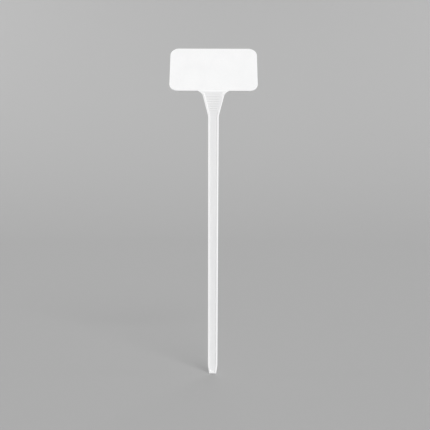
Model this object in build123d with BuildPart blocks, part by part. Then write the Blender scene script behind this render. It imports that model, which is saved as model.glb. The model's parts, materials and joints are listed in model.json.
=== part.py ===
from build123d import *
from math import cos, radians, sin, sqrt
import os

# A plant label stake in two moulded pieces. A channelled ground stake ends in a flared, ribbed neck that
# folds back into a tongue. A rounded writing plate with a sleeve on its back pushes down onto that tongue
# until its lower edge sits on the neck's folded top, where the two fronts are flush.
# Millimetres, +Z up, the front faces -Y, the origin is the tip's centre.

# Stake seen from the front
fold_height = 253.6  # tip to the line where the channel's floor folds back
stem_width_low = 8.3  # just above the tip
stem_width_high = 9.3  # just below the neck
neck_height = 21.9
neck_foot_radius = 6.0  # hollow curve from the stem into the neck
neck_width = 20.8  # between the straight flanks at the fold
shoulder_radius = 7.0  # hollow curve that spreads the neck under the plate
shoulder_lip = 0.4  # wall left at the thin end of that curve
tip_length = 7.5
tip_flank_radius = 10.0  # curve from the stem into the tip
tip_width = 6.2
tip_corner_radius = 1.2

# Stake from the side
stake_thickness = 3.2
stake_front_radius = 0.9
stake_back_radius = 0.45
tip_thickness = 1.8
tip_sweep = 14.0  # length of the curve that thins the back of the tip
rib_width = 1.6  # raised edge on both sides of the channel
rib_edge_radius = 0.5
channel_depth = 1.0
channel_foot = 1.8  # solid end left below the channel
channel_end_radius = 1.2
channel_floor_radius = 0.45

# Low bars across the channel in the neck, where a thumb pushes the stake in
grip_count = 7
grip_pitch = 2.1
grip_width = 1.1
grip_rise = 0.15
grip_drop = 3.8  # fold to the middle of the top bar

# Writing plate
plate_width = 80.0
plate_height = 50.0
plate_thickness = 1.2
plate_corner_radius = 8.0
plate_edge_radius = 0.25
plate_tilt = 31.0  # degrees back from upright

# Push fit
seat_rise = 1.6  # fold to the seat that the plate stands on, along the lean
tongue_length = 22.0  # above the seat, along the lean
tongue_width_root = 16.0
tongue_width_end = 15.2
tongue_corner_radius = 2.5
tongue_edge_radius = 0.3
fit_clearance = 0.1  # on every side of the tongue
sleeve_mouth = 1.2  # plate's lower edge to the open end of the sleeve
sleeve_end_gap = 0.5  # tongue end to the closed end of the sleeve
sleeve_wall = 1.4
sleeve_edge_radius = 0.8
sleeve_root_radius = 0.6

# Plane of the plate's front face, which meets the channel's floor at the fold. The plate's lower edge is
# the line y = 0 in it, and the seat is square to it there.
tilt = radians(plate_tilt)
front = -stake_thickness / 2
channel_floor_y = front + channel_depth
seat_height = fold_height + seat_rise * cos(tilt)
plate_plane = Plane(
    origin=(0, channel_floor_y + seat_rise * sin(tilt), seat_height),
    x_dir=(1, 0, 0),
    z_dir=(0, -cos(tilt), sin(tilt)),
)
seat_plane = Plane(plate_plane.origin, x_dir=(1, 0, 0), z_dir=plate_plane.y_dir)
lean = Axis(plate_plane.origin, plate_plane.y_dir)
inward = Axis(plate_plane.origin, -plate_plane.z_dir)

# Depths below that front face. The tongue carries on the web behind the channel, round the bend.
tongue_depth = plate_thickness + fit_clearance
tongue_thickness = (stake_thickness - channel_depth) / cos(tilt) - tongue_depth
tongue_root = seat_rise + tongue_thickness  # buried in the neck
cavity_depth = tongue_depth + tongue_thickness + fit_clearance
sleeve_depth = cavity_depth + sleeve_wall
sleeve_width = tongue_width_root + 2 * (fit_clearance + sleeve_wall)
sleeve_top = tongue_length + sleeve_end_gap + sleeve_wall

# Straight flanks of the neck
neck_base = fold_height - neck_height
neck_top = fold_height + stake_thickness + rib_width  # drawn past the seat, cut off there
flank_run = (neck_width - stem_width_high) / 2


def neck_half_width(height):
    """Half the width between the neck's straight flanks."""
    return neck_width / 2 - flank_run * (fold_height - height) / neck_height


# The shoulder's hollow curve is an arc that touches a flank and would touch the plate's lower edge
flank_length = sqrt(flank_run**2 + neck_height**2)
flank_cos = neck_height / flank_length
flank_sin = flank_run / flank_length
arc_centre_x = neck_half_width(seat_height) + shoulder_radius * (1 - flank_sin) / flank_cos
arc_centre_z = seat_height - shoulder_radius
arc_start = (
    arc_centre_x - shoulder_radius * flank_cos,
    arc_centre_z + shoulder_radius * flank_sin,
)
arc_end = (
    arc_centre_x - sqrt(shoulder_radius**2 - (shoulder_radius - shoulder_lip) ** 2),
    seat_height - shoulder_lip,
)


def draw_flank(end_radius, top):
    """Draws the right half of the front from the middle of the tip up to a point on the neck's flank."""
    FilletPolyline(
        (0, 0),
        (tip_width / 2, 0),
        (stem_width_low / 2, tip_length),
        (stem_width_high / 2, neck_base),
        top,
        radius=[end_radius, tip_flank_radius, neck_foot_radius],
    )


# Front outline of the stake
with BuildSketch() as stake_outline:
    with BuildLine():
        draw_flank(tip_corner_radius, arc_start)
        RadiusArc(arc_start, arc_end, shoulder_radius)
        Polyline(arc_end, (arc_end[0], neck_top), (0, neck_top), (0, 0))
    make_face()
    mirror(about=Plane.YZ)

# Front outline of the channel, which keeps to the straight flanks and leaves the shoulders solid
with BuildSketch() as channel_outline:
    with BuildLine():
        flank_end = (neck_half_width(neck_top), neck_top)
        draw_flank(0, flank_end)
        Polyline(flank_end, (0, neck_top), (0, 0))
    make_face()
    mirror(about=Plane.YZ)
    offset(amount=-rib_width, mode=Mode.REPLACE)
    with Locations((0, channel_foot)):
        Rectangle(
            2 * arc_end[0],
            neck_top - channel_foot,
            align=(Align.CENTER, Align.MIN),
            mode=Mode.INTERSECT,
        )
    fillet(channel_outline.vertices().group_by(Axis.Y)[0], channel_end_radius)


def tongue_outline(clearance, length):
    """The tapered tongue from the seat up, wider by the clearance on both sides."""
    root = tongue_width_root / 2 + clearance
    end = root - (tongue_width_root - tongue_width_end) / 2 * length / tongue_length
    with BuildSketch(mode=Mode.PRIVATE) as outline:
        with BuildLine():
            Polyline((-root, 0), (root, 0), (end, length), (-end, length), close=True)
        make_face()
        fillet(outline.vertices().group_by(Axis.Y)[-1], tongue_corner_radius)
    return outline.sketch


# Tongue, with the root that joins it to the neck
with BuildPart() as tongue:
    with BuildSketch(plate_plane.offset(-tongue_depth)):
        add(tongue_outline(0, tongue_length))
        Rectangle(tongue_width_root, tongue_root, align=(Align.CENTER, Align.MAX))
    extrude(amount=-tongue_thickness)
    fillet(tongue.edges().filter_by(plate_plane).sort_by(lean)[2:], tongue_edge_radius)

# Stake
with BuildPart() as stake:
    with BuildSketch(Plane.XZ):
        add(stake_outline.sketch)
    extrude(amount=stake_thickness / 2, both=True)
    # The back of the tip sweeps forward
    with BuildSketch(Plane.YZ):
        with BuildLine():
            sweep = TangentArc((-front, tip_sweep), (front + tip_thickness, 0), tangent=(0, -1))
            Polyline(sweep @ 1, (-front, 0), sweep @ 0)
        make_face()
    extrude(amount=stem_width_high, both=True, mode=Mode.SUBTRACT)
    # Every outside edge is rounded, apart from the smooth line where that sweep starts
    outside = stake.edges().filter_by(Axis.Y, reverse=True)
    sweep_line = outside.filter_by(Axis.X).sort_by(Axis.Z)[2:3]
    front_edges = outside.group_by(Axis.Y)[0]
    fillet(outside - sweep_line - front_edges, stake_back_radius)
    fillet(stake.faces().sort_by(Axis.Y)[0].edges(), stake_front_radius)
    # Channel down the front
    with BuildSketch(Plane.XZ.offset(-front)):
        add(channel_outline.sketch)
    extrude(amount=-channel_depth, mode=Mode.SUBTRACT)
    rib_edges = stake.faces().sort_by(Axis.Y)[0].inner_wires()[0].edges()
    fillet(rib_edges, rib_edge_radius)
    channel_floor = stake.faces().filter_by(Axis.Y).sort_by(Axis.Y)[1]
    fillet(channel_floor.edges(), channel_floor_radius)
    # Each grip bar has a rounded crown, a root sunk in the floor and its ends inside the raised edges
    for bar in range(grip_count):
        bar_height = fold_height - grip_drop - bar * grip_pitch
        with BuildSketch(Plane.YZ):
            with BuildLine():
                crown = ThreePointArc(
                    (channel_floor_y, bar_height - grip_width / 2),
                    (channel_floor_y - grip_rise, bar_height),
                    (channel_floor_y, bar_height + grip_width / 2),
                )
                Polyline(
                    crown @ 1,
                    (channel_floor_y + grip_rise, bar_height + grip_width / 2),
                    (channel_floor_y + grip_rise, bar_height - grip_width / 2),
                    crown @ 0,
                )
            make_face()
        extrude(amount=neck_half_width(bar_height) - rib_width / 2, both=True)
    # The tops of the raised edges and shoulders slope back from the fold to the seat, flush with the plate
    split(bisect_by=plate_plane, keep=Keep.BOTTOM)
    split(bisect_by=seat_plane, keep=Keep.BOTTOM)
    add(tongue.part)

# Sleeve on the plate's back
with BuildPart() as sleeve:
    with BuildSketch(plate_plane.offset(-plate_thickness)) as sleeve_outline:
        with Locations((0, sleeve_mouth)):
            Rectangle(sleeve_width, sleeve_top - sleeve_mouth, align=(Align.CENTER, Align.MIN))
        fillet(sleeve_outline.vertices().group_by(Axis.Y)[-1], tongue_corner_radius)
    extrude(amount=plate_thickness - sleeve_depth)
    sleeve_back = sleeve.faces().filter_by(plate_plane).sort_by(inward)[-1]
    fillet(sleeve_back.edges().sort_by(lean)[1:], sleeve_edge_radius)

# Label plate
with BuildPart() as label_plate:
    with BuildSketch(plate_plane):
        with Locations((0, plate_height / 2)):
            RectangleRounded(plate_width, plate_height, plate_corner_radius)
    extrude(amount=-plate_thickness)
    fillet(label_plate.edges().filter_by(plate_plane), plate_edge_radius)
    add(sleeve.part)
    plate_back = label_plate.faces().filter_by(plate_plane).sort_by(inward)[1]
    fillet(plate_back.inner_wires()[0].edges(), sleeve_root_radius)
    with BuildSketch(plate_plane.offset(-plate_thickness)):
        add(tongue_outline(fit_clearance, tongue_length + sleeve_end_gap))
    extrude(amount=plate_thickness - cavity_depth, mode=Mode.SUBTRACT)

stake.part.label = "stake"
label_plate.part.label = "label_plate"

os.makedirs("parts", exist_ok=True)
export_step(stake.part, "parts/stake.step")
export_step(label_plate.part, "parts/label_plate.step")
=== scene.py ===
# %% [markdown]
# A plant label stake: a white plastic plate, left blank to write on, leans back on a tall stake that is
# pushed into the ground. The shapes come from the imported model, one object for each moulded piece. This
# lesson gives them what moulded plastic has on top of its shape: tone, grain, gloss, the small marks of
# the mould, and a light that shows them.

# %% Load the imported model
import json
import math

import bmesh
import bpy
from mathutils import Matrix, Vector
from mathutils.bvhtree import BVHTree


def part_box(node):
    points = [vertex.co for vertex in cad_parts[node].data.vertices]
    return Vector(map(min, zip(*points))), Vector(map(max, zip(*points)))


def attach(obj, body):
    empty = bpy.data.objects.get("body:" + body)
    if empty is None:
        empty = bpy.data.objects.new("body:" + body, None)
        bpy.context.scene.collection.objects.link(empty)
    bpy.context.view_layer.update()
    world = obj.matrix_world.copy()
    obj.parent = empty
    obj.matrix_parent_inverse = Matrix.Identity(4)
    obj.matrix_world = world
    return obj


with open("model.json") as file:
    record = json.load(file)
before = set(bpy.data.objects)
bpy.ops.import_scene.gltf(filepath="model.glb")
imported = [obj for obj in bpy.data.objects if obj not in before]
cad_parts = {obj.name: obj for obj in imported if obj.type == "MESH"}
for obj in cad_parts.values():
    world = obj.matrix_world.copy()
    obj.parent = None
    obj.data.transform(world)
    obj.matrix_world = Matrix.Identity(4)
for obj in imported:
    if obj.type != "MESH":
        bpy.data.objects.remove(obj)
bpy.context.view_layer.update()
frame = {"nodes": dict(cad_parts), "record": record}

scene = bpy.context.scene
stake = frame["nodes"]["stake"]
label_plate = frame["nodes"]["label_plate"]
print("pieces:", {name: len(piece.data.polygons) for name, piece in frame["nodes"].items()})

# %% [markdown]
# The camera comes first, because everything after it is judged through it. The real stake was seen from
# straight in front, level, at a little under half its height, so the leaning plate narrows only slightly
# towards its top. A camera turned by 90 degrees about X looks along +Y. Its distance sets how much the
# plate narrows, its lens then sets the size in the picture, and a small roll gives the stake's slight tilt.

# %% Camera
CAMERA_DISTANCE = 0.778  # from the front of the stem
CAMERA_HEIGHT = 0.1429
CAMERA_SIDE = 0.0017
CAMERA_LENS = 72.43  # millimetres, as is the sensor
CAMERA_SENSOR = 36.0
CAMERA_ROLL = math.radians(-0.18)
LOOK_LEVEL = math.radians(90)

stem_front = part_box("stake")[0].y
camera_data = bpy.data.cameras.new("camera")
camera_data.lens = CAMERA_LENS
camera_data.sensor_width = CAMERA_SENSOR
camera = bpy.data.objects.new("camera", camera_data)
camera.location = (CAMERA_SIDE, stem_front - CAMERA_DISTANCE, CAMERA_HEIGHT)
camera.rotation_euler = (LOOK_LEVEL, CAMERA_ROLL, 0)
scene.collection.objects.link(camera)
scene.camera = camera
print("camera at", [round(value, 4) for value in camera.location])

# %% [markdown]
# The floor. A white object needs a ground that is pale but a step darker than itself, with no corner
# behind it. A plane and a wall would show a line where they meet, so a profile of floor, hollow curve and
# wall is drawn once and spun about the upright axis into a wide bowl, which looks the same from every
# side. Three vertices joined by two edges are enough, because a bevel rounds the corner between them.
# Recalculated normals point out of a shell, and this one is seen from inside, so its faces are turned
# round. The bowl's wall would stand in the way of low lamps, so it casts no shadow. It still receives them.

# %% Floor
FLOOR_RADIUS = 8.0
WALL_HEIGHT = 4.2
COVE_RADIUS = 4.0
COVE_STEPS = 32
TURN_STEPS = 72
FLOOR_WELD = 1e-6  # closes the pole, where every turn of the profile starts

bowl = bmesh.new()
corners = ((0, 0, 0), (FLOOR_RADIUS, 0, 0), (FLOOR_RADIUS, 0, WALL_HEIGHT))
profile = [bowl.verts.new(corner) for corner in corners]
for low, high in zip(profile, profile[1:]):
    bowl.edges.new((low, high))
bmesh.ops.bevel(bowl, geom=[profile[1]], offset=COVE_RADIUS, offset_type="OFFSET", segments=COVE_STEPS,
                profile=0.5, affect="VERTICES", material=-1)
bmesh.ops.spin(bowl, geom=bowl.verts[:] + bowl.edges[:], cent=(0, 0, 0), axis=(0, 0, 1),
               angle=math.tau, steps=TURN_STEPS, use_merge=True)
bmesh.ops.remove_doubles(bowl, verts=bowl.verts[:], dist=FLOOR_WELD)
bmesh.ops.recalc_face_normals(bowl, faces=bowl.faces[:])
bmesh.ops.reverse_faces(bowl, faces=bowl.faces[:])
floor_mesh = bpy.data.meshes.new("floor")
bowl.to_mesh(floor_mesh)
bowl.free()
floor_mesh.shade_smooth()
floor = bpy.data.objects.new("floor", floor_mesh)
floor.visible_shadow = False
scene.collection.objects.link(floor)
print("floor bowl:", len(floor_mesh.polygons), "faces")

# %% [markdown]
# The floor's finish is plain matt paper. One grey on the shader is all it needs: its shading comes from
# the light, and a pattern would only draw the eye away from the stake. Its specular level is zero, because
# seen almost edge on even rough paper mirrors a low lamp, and that would draw a bright line far behind.

# %% Floor finish
FLOOR_TONE = (0.44, 0.44, 0.44, 1)
FLOOR_ROUGHNESS = 0.9
FLOOR_SPECULAR = 0.0

floor_paper = bpy.data.materials.new("floor_paper")
floor_paper.use_nodes = True
paper = floor_paper.node_tree.nodes["Principled BSDF"]
paper.inputs["Base Color"].default_value = FLOOR_TONE
paper.inputs["Roughness"].default_value = FLOOR_ROUGHNESS
paper.inputs["Specular IOR Level"].default_value = FLOOR_SPECULAR
floor_mesh.materials.append(floor_paper)
print("floor tone", FLOOR_TONE[:3])

# %% [markdown]
# The light. White plastic shows its form only through small steps of grey, so each lamp has one job. A
# front lamp stands a little to the right: the plate leans back towards it and is the brightest face, and
# the channel's right wall falls into shade. Two low lamps, straight out to the sides, pass across the
# channel and light only the raised edges, which so get their bright lines. A low back lamp serves the
# views from behind. All are suns with a wide disc: they light softly, as large panels do, and the same
# everywhere, so no lamp burns a spot into the floor. The world adds the even light of a room, and the
# plate stays just below pure white.

# %% Light
ROOM_TONE = (1, 1, 1, 1)
ROOM_LIGHT = 0.5


def soft_sun(name, turn, rise, strength, disc):
    """A wide sun, turned from the front towards the right and raised. Angles are in degrees."""
    turn = math.radians(turn)
    rise = math.radians(rise)
    to_lamp = Vector((math.sin(turn) * math.cos(rise), -math.cos(turn) * math.cos(rise), math.sin(rise)))
    lamp = bpy.data.lights.new(name, "SUN")
    lamp.energy = strength
    lamp.angle = math.radians(disc)
    holder = bpy.data.objects.new(name, lamp)
    holder.rotation_euler = to_lamp.to_track_quat("Z", "Y").to_euler()
    scene.collection.objects.link(holder)
    print("lamp", name, strength, "W/m2")


scene.view_settings.view_transform = "Standard"
world = bpy.data.worlds.new("room")
scene.world = world
world.use_nodes = True
room = world.node_tree.nodes["Background"]
room.inputs["Color"].default_value = ROOM_TONE
room.inputs["Strength"].default_value = ROOM_LIGHT

soft_sun("front", turn=15, rise=26, strength=1.64, disc=24)
soft_sun("right", turn=88, rise=8, strength=1.45, disc=16)
soft_sun("left", turn=-90, rise=8, strength=1.65, disc=16)
soft_sun("back", turn=172, rise=12, strength=1.25, disc=30)

# %% [markdown]
# Both pieces are moulded in the same white plastic, so what their finishes share is built once, as shader
# node groups. A few helpers keep that readable: one feeds a socket, one adds a node, and one starts a group
# with named sockets.

# %% Node helpers
def feed(tree, socket, value):
    """Links an input to the output socket that is given, or sets it to a plain value."""
    if isinstance(value, bpy.types.NodeSocket):
        tree.links.new(value, socket)
    else:
        socket.default_value = value


def put(tree, kind, settings=None, **inputs):
    """A new node with its inputs fed by name, where an underscore stands for a space."""
    node = tree.nodes.new(kind)
    for name, value in (settings or {}).items():
        setattr(node, name, value)
    for name, value in inputs.items():
        feed(tree, node.inputs[name.replace("_", " ")], value)
    return node


def start_group(name, inputs, outputs):
    """An empty shader group with its input and output nodes."""
    group = bpy.data.node_groups.new(name, "ShaderNodeTree")
    for way, sockets in (("INPUT", inputs), ("OUTPUT", outputs)):
        for socket, kind in sockets.items():
            group.interface.new_socket(socket, in_out=way, socket_type=kind)
    return group, group.nodes.new("NodeGroupInput"), group.nodes.new("NodeGroupOutput")


print("node helpers ready")

# %% [markdown]
# Mixing. The Mix node holds the sockets of every kind of data side by side, under the same names. A name
# alone would find the wrong one, so two more helpers pick sockets by their place and hand back the output:
# one mixes, and one multiplies.

# %% Mixing helpers
MIX_INPUTS = {"FLOAT": (0, 2, 3), "RGBA": (0, 6, 7)}
MIX_OUTPUT = {"FLOAT": 0, "RGBA": 2}


def mix(tree, kind, mask, plain, changed):
    """What is plain where the mask is 0, and changed where it is 1."""
    node = put(tree, "ShaderNodeMix", {"data_type": kind})
    for place, value in zip(MIX_INPUTS[kind], (mask, plain, changed)):
        feed(tree, node.inputs[place], value)
    return node.outputs[MIX_OUTPUT[kind]]


def multiply(tree, first, second):
    """The product of two values."""
    node = put(tree, "ShaderNodeMath", {"operation": "MULTIPLY"})
    for socket, value in zip(node.inputs, (first, second)):
        feed(tree, socket, value)
    return node.outputs["Value"]


print("mixing helpers for", list(MIX_INPUTS))

# %% [markdown]
# Flow tone. Plastic that fills a long mould never sets in one even white: faint cloudy streaks run the way
# it flowed. A noise texture that is stretched along the stake gives those streaks, and it only slides
# between two whites that are very close together.

# %% Flow tone group
STREAK_SCALE = (1.0, 1.0, 0.22)  # a small scale along Z draws the noise out along the stake
STREAK_DETAIL = 3.0
STREAK_ROUGHNESS = 0.55
STREAK_LOW = 0.35  # most of the noise lies between these two
STREAK_HIGH = 0.65

flow_tone, flow_in, flow_out = start_group(
    "flow_tone",
    inputs={"Tone": "NodeSocketColor", "Streak Tone": "NodeSocketColor", "Streaks": "NodeSocketFloat"},
    outputs={"Tone": "NodeSocketColor"},
)
flow_place = put(flow_tone, "ShaderNodeTexCoord")
flow_stretch = put(flow_tone, "ShaderNodeMapping", Vector=flow_place.outputs["Object"], Scale=STREAK_SCALE)
flow_noise = put(flow_tone, "ShaderNodeTexNoise", Vector=flow_stretch.outputs["Vector"],
                 Scale=flow_in.outputs["Streaks"], Detail=STREAK_DETAIL, Roughness=STREAK_ROUGHNESS)
flow_mask = put(flow_tone, "ShaderNodeMapRange", Value=flow_noise.outputs["Fac"],
                From_Min=STREAK_LOW, From_Max=STREAK_HIGH)
streaked = mix(flow_tone, "RGBA", flow_mask.outputs["Result"], flow_in.outputs["Tone"],
               flow_in.outputs["Streak Tone"])
feed(flow_tone, flow_out.inputs["Tone"], streaked)
print("group", flow_tone.name, len(flow_tone.nodes), "nodes")

# %% [markdown]
# Moulded grain. The mould's steel is etched, and the plastic copies it as a fine even grain that takes a
# pencil and breaks up reflections. One noise at the size of the grain, a few tenths of a millimetre, is
# the height. Its low spots are also put out as a mask, because in soft light a pit is seen by the shade it
# holds. A second, much wider noise lets the roughness drift, as where the steel was polished by wear.

# %% Moulded grain group
GRAIN_DETAIL = 4.0
GRAIN_ROUGHNESS = 0.6
PIT_RIM = 0.52  # noise below this is a pit
PIT_FLOOR = 0.32
DRIFT_SCALE = 55.0
DRIFT_DETAIL = 2.0
DRIFT_ROUGHNESS = 0.5
DRIFT_LOW = 0.3
DRIFT_HIGH = 0.7

moulded_grain, grain_in, grain_out = start_group(
    "moulded_grain",
    inputs={"Grains": "NodeSocketFloat", "Smooth": "NodeSocketFloat", "Matt": "NodeSocketFloat"},
    outputs={"Height": "NodeSocketFloat", "Pits": "NodeSocketFloat", "Roughness": "NodeSocketFloat"},
)
grain_place = put(moulded_grain, "ShaderNodeTexCoord")
grain_noise = put(moulded_grain, "ShaderNodeTexNoise", Vector=grain_place.outputs["Object"],
                  Scale=grain_in.outputs["Grains"], Detail=GRAIN_DETAIL, Roughness=GRAIN_ROUGHNESS)
grain_pits = put(moulded_grain, "ShaderNodeMapRange", Value=grain_noise.outputs["Fac"],
                 From_Min=PIT_RIM, From_Max=PIT_FLOOR)
grain_drift = put(moulded_grain, "ShaderNodeTexNoise", Vector=grain_place.outputs["Object"],
                  Scale=DRIFT_SCALE, Detail=DRIFT_DETAIL, Roughness=DRIFT_ROUGHNESS)
grain_gloss = put(moulded_grain, "ShaderNodeMapRange", Value=grain_drift.outputs["Fac"],
                  From_Min=DRIFT_LOW, From_Max=DRIFT_HIGH,
                  To_Min=grain_in.outputs["Smooth"], To_Max=grain_in.outputs["Matt"])
feed(moulded_grain, grain_out.inputs["Height"], grain_noise.outputs["Fac"])
feed(moulded_grain, grain_out.inputs["Pits"], grain_pits.outputs["Result"])
feed(moulded_grain, grain_out.inputs["Roughness"], grain_gloss.outputs["Result"])
print("group", moulded_grain.name, len(moulded_grain.nodes), "nodes")

# %% [markdown]
# Rubbed edges. Packing and handling polish the edges first, so they turn a little smoother than the faces.
# The same mask also paints them whiter: a painted highlight, which stands in for the light that rounded
# edges catch. Painting them by hand is slow, and the Bevel node misses edges that are already round, so
# an ambient occlusion node is turned to look inside the solid. Below a flat face its short rays run on in
# plastic. Near an outer edge, sharp or round, they come out at the other side, and that is the mask. An
# inner corner, which no hand can rub, stays out of it.

# %% Edge polish and painted highlight group
INSIDE_RAYS = {"samples": 12, "inside": True, "only_local": True}
# This mask sets both the real polish and the painted highlight along the edges.
EDGE_MASK_START = 0.96  # share of the rays that stay in plastic where the rubbing starts
EDGE_MASK_FULL = 0.74

edge_polish_and_highlight, edge_mask_in, edge_mask_out = start_group(
    "edge_polish_and_highlight",
    inputs={"Width": "NodeSocketFloat"},
    outputs={"Mask": "NodeSocketFloat"},
)
edge_inside_rays = put(edge_polish_and_highlight, "ShaderNodeAmbientOcclusion", INSIDE_RAYS,
                    Distance=edge_mask_in.outputs["Width"])
polish_and_highlight_mask = put(edge_polish_and_highlight, "ShaderNodeMapRange", Value=edge_inside_rays.outputs["AO"],
                  From_Min=EDGE_MASK_START, From_Max=EDGE_MASK_FULL)
feed(edge_polish_and_highlight, edge_mask_out.inputs["Mask"], polish_and_highlight_mask.outputs["Result"])
print("group", edge_polish_and_highlight.name, len(edge_polish_and_highlight.nodes), "nodes")

# %% [markdown]
# The side that is shown. A mould is etched most where the eye and the pencil go, so the grain is stronger
# on the front than on the back and the flanks. No face has to be picked for that by hand. The dot product
# of a face's normal and the front direction is 1 where both agree, and a range turns it into a strength.

# %% Front strength
FRONT_START = 0.8
FRONT_FULL = 0.98
BACK_STRENGTH = 0.4


def front_strength(tree, front):
    """1 on faces that look along front, falling to the strength of the back on others."""
    facing = put(tree, "ShaderNodeVectorMath", {"operation": "DOT_PRODUCT"})
    normal = put(tree, "ShaderNodeNewGeometry").outputs["Normal"]
    for socket, value in zip(facing.inputs, (normal, front)):
        feed(tree, socket, value)
    strength = put(tree, "ShaderNodeMapRange", Value=facing.outputs["Value"],
                   From_Min=FRONT_START, From_Max=FRONT_FULL, To_Min=BACK_STRENGTH, To_Max=1.0)
    return strength.outputs["Result"]


print("grain on the back:", BACK_STRENGTH, "of the front's")

# %% [markdown]
# The plastic itself. Each piece gets its own material from the same recipe, with its own values, and the
# groups meet in it. The streaked tone gets painted shade in the pits and a painted highlight along the
# edges, which stands in for the light that rounded edges catch. The edges are also polished, and the
# grain's height goes to a Bump node. What is constant, such as the index of refraction, is set on the
# shader.

# %% Plastic recipe
PLASTIC_IOR = 1.49
# The colour of the painted highlight along the edges.
EDGE_HIGHLIGHT_TONE = (0.95, 0.95, 0.952, 1)
# The colour of the painted shade in the grain's pits.
PIT_TONE = (0.82, 0.82, 0.825, 1)
EDGE_POLISH = 0.05  # how much less rough the edges are than the smoothest face


def moulded_plastic(name, tone, streak_tone, streaks, grains, smooth, matt, grain_height, front, edge_width):
    """White moulded plastic whose grain is strongest on faces that look along front."""
    material = bpy.data.materials.new(name)
    material.use_nodes = True
    tree = material.node_tree
    shader = tree.nodes["Principled BSDF"]
    shader.inputs["IOR"].default_value = PLASTIC_IOR
    flow = put(tree, "ShaderNodeGroup", {"node_tree": flow_tone}, Tone=tone, Streak_Tone=streak_tone,
               Streaks=streaks)
    grain = put(tree, "ShaderNodeGroup", {"node_tree": moulded_grain}, Grains=grains, Smooth=smooth,
                Matt=matt)
    edges = put(tree, "ShaderNodeGroup", {"node_tree": edge_polish_and_highlight}, Width=edge_width).outputs["Mask"]
    strength = front_strength(tree, front)

    pits = multiply(tree, grain.outputs["Pits"], strength)
    # Painted shade in the grain's pits, strongest on the front.
    pitted = mix(tree, "RGBA", pits, flow.outputs["Tone"], PIT_TONE)
    # A painted highlight along the edges, from the same mask that polishes them.
    feed(tree, shader.inputs["Base Color"], mix(tree, "RGBA", edges, pitted, EDGE_HIGHLIGHT_TONE))
    polished = mix(tree, "FLOAT", edges, grain.outputs["Roughness"], smooth - EDGE_POLISH)
    feed(tree, shader.inputs["Roughness"], polished)
    height = multiply(tree, grain.outputs["Height"], strength)
    bump = put(tree, "ShaderNodeBump", Height=height, Distance=grain_height)
    feed(tree, shader.inputs["Normal"], bump.outputs["Normal"])
    print("material", name, len(tree.nodes), "nodes")
    return material


print("plastic recipe with edges at", EDGE_HIGHLIGHT_TONE[0], "and pits at", PIT_TONE[0])

# %% [markdown]
# The plate is for writing, so its face has the coarser, duller grain. Its front direction is read from
# the record, where the face is a mount. The marks of the mould, made further down, are so thin that the
# whole of each would count as an edge and take the painted highlight. They get the same finish with a much
# narrower edge.

# %% Plate finish
EDGE_WIDTH = 0.0008
MARK_EDGE_WIDTH = 0.00025

mounts = {mount["name"]: mount for mount in frame["record"]["mounts"]}
plate_front = Vector(mounts["label_face"]["axis"])
plate_finish = {
    "tone": (0.918, 0.918, 0.919, 1),
    "streak_tone": (0.89, 0.891, 0.893, 1),
    "streaks": 90.0,
    "grains": 3200.0,
    "smooth": 0.54,
    "matt": 0.66,
    "grain_height": 4.0e-5,
    "front": plate_front,
}
plate_plastic = moulded_plastic("plate_plastic", edge_width=EDGE_WIDTH, **plate_finish)
plate_mark_plastic = moulded_plastic("plate_mark_plastic", edge_width=MARK_EDGE_WIDTH, **plate_finish)
label_plate.data.materials[0] = plate_plastic

# %% [markdown]
# The stake has a satin skin with finer grain. Its streaks are finer and closer too, because the plastic
# squeezes through a narrow stem. It could have nodes of its own, but the same recipe with other values
# keeps the two pieces one family.

# %% Stake finish
FORWARD = Vector((0, -1, 0))

stake_finish = {
    "tone": (0.892, 0.892, 0.893, 1),
    "streak_tone": (0.86, 0.861, 0.864, 1),
    "streaks": 160.0,
    "grains": 4200.0,
    "smooth": 0.4,
    "matt": 0.52,
    "grain_height": 2.2e-5,
    "front": FORWARD,
}
stake_plastic = moulded_plastic("stake_plastic", edge_width=EDGE_WIDTH, **stake_finish)
stake_mark_plastic = moulded_plastic("stake_mark_plastic", edge_width=MARK_EDGE_WIDTH, **stake_finish)
stake.data.materials[0] = stake_plastic

# %% [markdown]
# Marks of the mould. Round pins push a moulding out of the steel, and each leaves a shallow dish with a
# fine raised rim on the side that isn't shown. A capped circle is extruded to a low disc, an inset draws
# the rim, and a second inset with a depth presses the middle in. The rim is bevelled, because a sharp ring
# would catch no light. The disc has a root that sinks into the face, so it never floats above it.

# %% Pin mark
PIN_RADIUS = 0.0019
PIN_SIDES = 40
PIN_RISE = 0.00014
PIN_ROOT = 0.0004
PIN_RIM = 0.0003
PIN_DISH = 0.000112  # depth of the dish below the rim
RIM_BEND = math.radians(10)  # edges that bend less lie in the rim's flat top
RIM_SOFTEN = 0.00004
SOFTEN_STEPS = 2


def pin_mark():
    """A shallow round dish with a raised rim, at the origin, facing +Z."""
    disc = bmesh.new()
    bmesh.ops.create_circle(disc, cap_ends=True, radius=PIN_RADIUS, segments=PIN_SIDES)
    bmesh.ops.translate(disc, vec=(0, 0, -PIN_ROOT), verts=disc.verts[:])
    raised = bmesh.ops.extrude_face_region(disc, geom=disc.faces[:])["geom"]
    top = next(item for item in raised if isinstance(item, bmesh.types.BMFace))
    bmesh.ops.translate(disc, vec=(0, 0, PIN_ROOT + PIN_RISE), verts=top.verts[:])
    bmesh.ops.recalc_face_normals(disc, faces=disc.faces[:])
    bmesh.ops.inset_region(disc, faces=[top], thickness=PIN_RIM)
    bmesh.ops.inset_region(disc, faces=[top], thickness=PIN_RIM, depth=-PIN_DISH)
    half_dish = PIN_RISE - PIN_DISH / 2
    rim = [edge for edge in disc.edges
           if all(vert.co.z > half_dish for vert in edge.verts) and edge.calc_face_angle() > RIM_BEND]
    bmesh.ops.bevel(disc, geom=rim, offset=RIM_SOFTEN, offset_type="OFFSET", segments=SOFTEN_STEPS,
                    profile=0.5, affect="EDGES", material=-1)
    shape = bpy.data.meshes.new("pin_mark")
    disc.to_mesh(shape)
    disc.free()
    return shape


pin_shape = pin_mark()
print("pin mark:", len(pin_shape.polygons), "faces")

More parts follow.
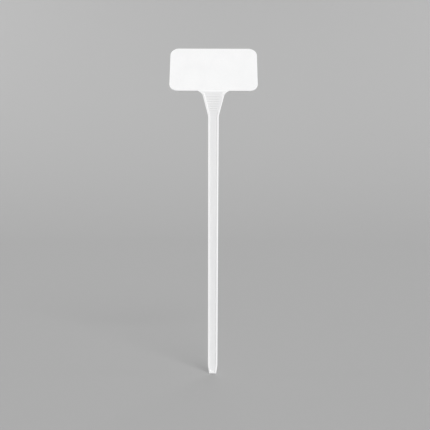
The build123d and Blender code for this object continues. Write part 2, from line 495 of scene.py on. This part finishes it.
# %% [markdown]
# The gate is where the plastic ran in. Its runner is snipped off and leaves a small stub that is never
# quite square. A cone gives the stub and a slanting plane does the snipping. The hole that the cut leaves
# is filled, and the cut edge is softened.

# %% Gate stub
GATE_RADIUS = 0.0009
GATE_TOP_RADIUS = 0.00063
GATE_LENGTH = 0.0012  # before the snip, with half of it below the face
GATE_SIDES = 28
GATE_RISE = 0.0004
GATE_SLANT = Vector((0.18, 0.1, 1))
GATE_SOFTEN = 0.00006


def gate_stub():
    """The snipped end of the runner, at the origin, facing +Z."""
    stub = bmesh.new()
    bmesh.ops.create_cone(stub, cap_ends=True, segments=GATE_SIDES, radius1=GATE_RADIUS,
                          radius2=GATE_TOP_RADIUS, depth=GATE_LENGTH)
    cut = bmesh.ops.bisect_plane(stub, geom=stub.verts[:] + stub.edges[:] + stub.faces[:],
                                 plane_co=(0, 0, GATE_RISE), plane_no=GATE_SLANT, clear_outer=True)
    snipped = [item for item in cut["geom_cut"] if isinstance(item, bmesh.types.BMEdge)]
    bmesh.ops.holes_fill(stub, edges=snipped)
    bmesh.ops.bevel(stub, geom=snipped, offset=GATE_SOFTEN, offset_type="OFFSET", segments=SOFTEN_STEPS,
                    profile=0.5, affect="EDGES", material=-1)
    bmesh.ops.recalc_face_normals(stub, faces=stub.faces[:])
    shape = bpy.data.meshes.new("gate_stub")
    stub.to_mesh(shape)
    stub.free()
    return shape


gate_shape = gate_stub()
print("gate stub:", len(gate_shape.polygons), "faces")

# %% [markdown]
# A mark has to sit on the face that carries it. A ray sent at the back of the piece finds the point and
# the direction of the face there, so no height is typed in. Marks that belong together are copied into one
# object, which rides on the piece's body and wears its plastic.

# %% Marks on a face
MARK_CREASE = math.radians(35)  # edges that bend more stay sharp in the shading


def on_face(piece, start, direction):
    """A frame on the first face that the ray meets, with Z out of that face."""
    faces = BVHTree.FromObject(piece, bpy.context.evaluated_depsgraph_get())
    place, normal = faces.ray_cast(start, direction)[:2]
    return Matrix.Translation(place) @ normal.to_track_quat("Z", "Y").to_matrix().to_4x4()


def mould_marks(name, places, material, body):
    """One object from mark shapes, each with the frame that it is set in."""
    joined = bmesh.new()
    for shape, place in places:
        held = len(joined.verts)
        joined.from_mesh(shape)
        joined.verts.ensure_lookup_table()
        bmesh.ops.transform(joined, matrix=place, verts=joined.verts[held:])
    mesh = bpy.data.meshes.new(name)
    joined.to_mesh(mesh)
    joined.free()
    mesh.shade_smooth()
    mesh.set_sharp_from_angle(angle=MARK_CREASE)
    mesh.materials.append(material)
    marks = bpy.data.objects.new(name, mesh)
    scene.collection.objects.link(marks)
    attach(marks, body)
    print(name, "shapes:", len(places), "faces:", len(mesh.polygons))


print("marks keep edges sharp above", round(math.degrees(MARK_CREASE)), "degrees")

# %% [markdown]
# The stem is pushed out by a row of pins down the middle of its flat back, with two more side by side in
# the wide neck. Its gate is just below them, so the plastic runs both ways from there. Each pin could be
# put down by hand, but a row that is worked out from its ends and its count stays even when they change.

# %% Marks on the stake
BEHIND = 0.05  # how far behind a piece its rays start
PIN_ROW_LOW = 0.024
PIN_ROW_HIGH = 0.216
PIN_ROW_COUNT = 7
NECK_PIN_SIDE = 0.0042
NECK_PIN_HEIGHT = 0.2435
STAKE_GATE_HEIGHT = 0.2305

row_step = (PIN_ROW_HIGH - PIN_ROW_LOW) / (PIN_ROW_COUNT - 1)
stem_pins = [(0, PIN_ROW_LOW + step * row_step) for step in range(PIN_ROW_COUNT)]
neck_pins = [(side * NECK_PIN_SIDE, NECK_PIN_HEIGHT) for side in (-1, 1)]
stake_places = [(pin_shape, on_face(stake, Vector((side, BEHIND, height)), FORWARD))
                for side, height in stem_pins + neck_pins]
stake_places.append((gate_shape, on_face(stake, Vector((0, BEHIND, STAKE_GATE_HEIGHT)), FORWARD)))
mould_marks("stake_mould_marks", stake_places, stake_mark_plastic, "ground_stake")

# %% [markdown]
# The parting line. The two halves of the mould meet along the stake's flanks, halfway through its
# thickness, and a hair of plastic is pressed out between them. Drawing that line by hand would have to
# repeat the whole outline, so a copy of the stake is cut by the plane in which the halves meet, and the cut
# gives the line. Its points, sorted from the tip up, become a curve on each flank. The curve's round bevel
# is the bead, half of it sunk in the flank. It is an object of its own, because it is as long as the stem:
# in one baked picture with the pins, a line that long would leave them no room.

# %% Parting line
BEAD_RADIUS = 0.00006
BEAD_RESOLUTION = 2
BEAD_LOW = 0.0016  # above the rounded corners of the tip
BEAD_HIGH = 0.2535  # below the fold of the neck
FLANK_SIDE = 0.002  # no nearer to the middle, where the cut meets other faces
STAKE_WELD = 1e-7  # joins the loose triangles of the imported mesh


def parting_line(piece):
    """The bead on both flanks of the piece, in the plane y = 0."""
    halves = bmesh.new()
    halves.from_mesh(piece.data)
    bmesh.ops.remove_doubles(halves, verts=halves.verts[:], dist=STAKE_WELD)
    section = bmesh.ops.bisect_plane(halves, geom=halves.verts[:] + halves.edges[:] + halves.faces[:],
                                     plane_co=(0, 0, 0), plane_no=(0, 1, 0))["geom_cut"]
    points = [item.co for item in section if isinstance(item, bmesh.types.BMVert)]
    bead = bpy.data.curves.new("parting_line", "CURVE")
    bead.dimensions = "3D"
    bead.bevel_depth = BEAD_RADIUS
    bead.bevel_resolution = BEAD_RESOLUTION
    bead.use_fill_caps = True
    for side in (-1, 1):
        flank = [point for point in points
                 if point.x * side > FLANK_SIDE and BEAD_LOW < point.z < BEAD_HIGH]
        line = bead.splines.new("POLY")
        line.points.add(len(flank) - 1)
        for knot, place in zip(line.points, sorted(flank, key=lambda point: point.z)):
            knot.co = (*place, 1)
    halves.free()
    holder = bpy.data.objects.new("parting_line", bead)
    shape = bpy.data.meshes.new_from_object(holder)
    bpy.data.objects.remove(holder)
    return shape


parting_place = [(parting_line(stake), Matrix())]
mould_marks("stake_parting_line", parting_place, stake_mark_plastic, "ground_stake")

# %% [markdown]
# The plate has a pin near each corner and two beside its sleeve, all on the back. Its gate is on the back
# of the sleeve. The plate leans, so each place is given across it and up it from the middle of its face,
# and the ray is sent from behind, along the direction that the face looks in.

# %% Marks on the plate
CORNER_PIN_SIDE = 0.031
CORNER_PIN_RISE = 0.016
SLEEVE_PIN_SIDE = 0.0165
PLATE_GATE_RISE = -0.0125

plate_centre = Vector(mounts["label_face"]["pos_m"])
across = Vector((1, 0, 0))
up_plate = plate_front.cross(across)


def behind_plate(side, rise):
    """A point behind the plate, across and up from the middle of its face."""
    return plate_centre + across * side + up_plate * rise - plate_front * BEHIND


corner_pins = [(side * CORNER_PIN_SIDE, rise * CORNER_PIN_RISE) for rise in (1, -1) for side in (-1, 1)]
sleeve_pins = [(side * SLEEVE_PIN_SIDE, 0) for side in (-1, 1)]
plate_places = [(pin_shape, on_face(label_plate, behind_plate(*pin), plate_front))
                for pin in corner_pins + sleeve_pins]
plate_places.append((gate_shape, on_face(label_plate, behind_plate(0, PLATE_GATE_RISE), plate_front)))
mould_marks("plate_mould_marks", plate_places, plate_mark_plastic, "plate_head")

# %% [markdown]

print("scene finished")
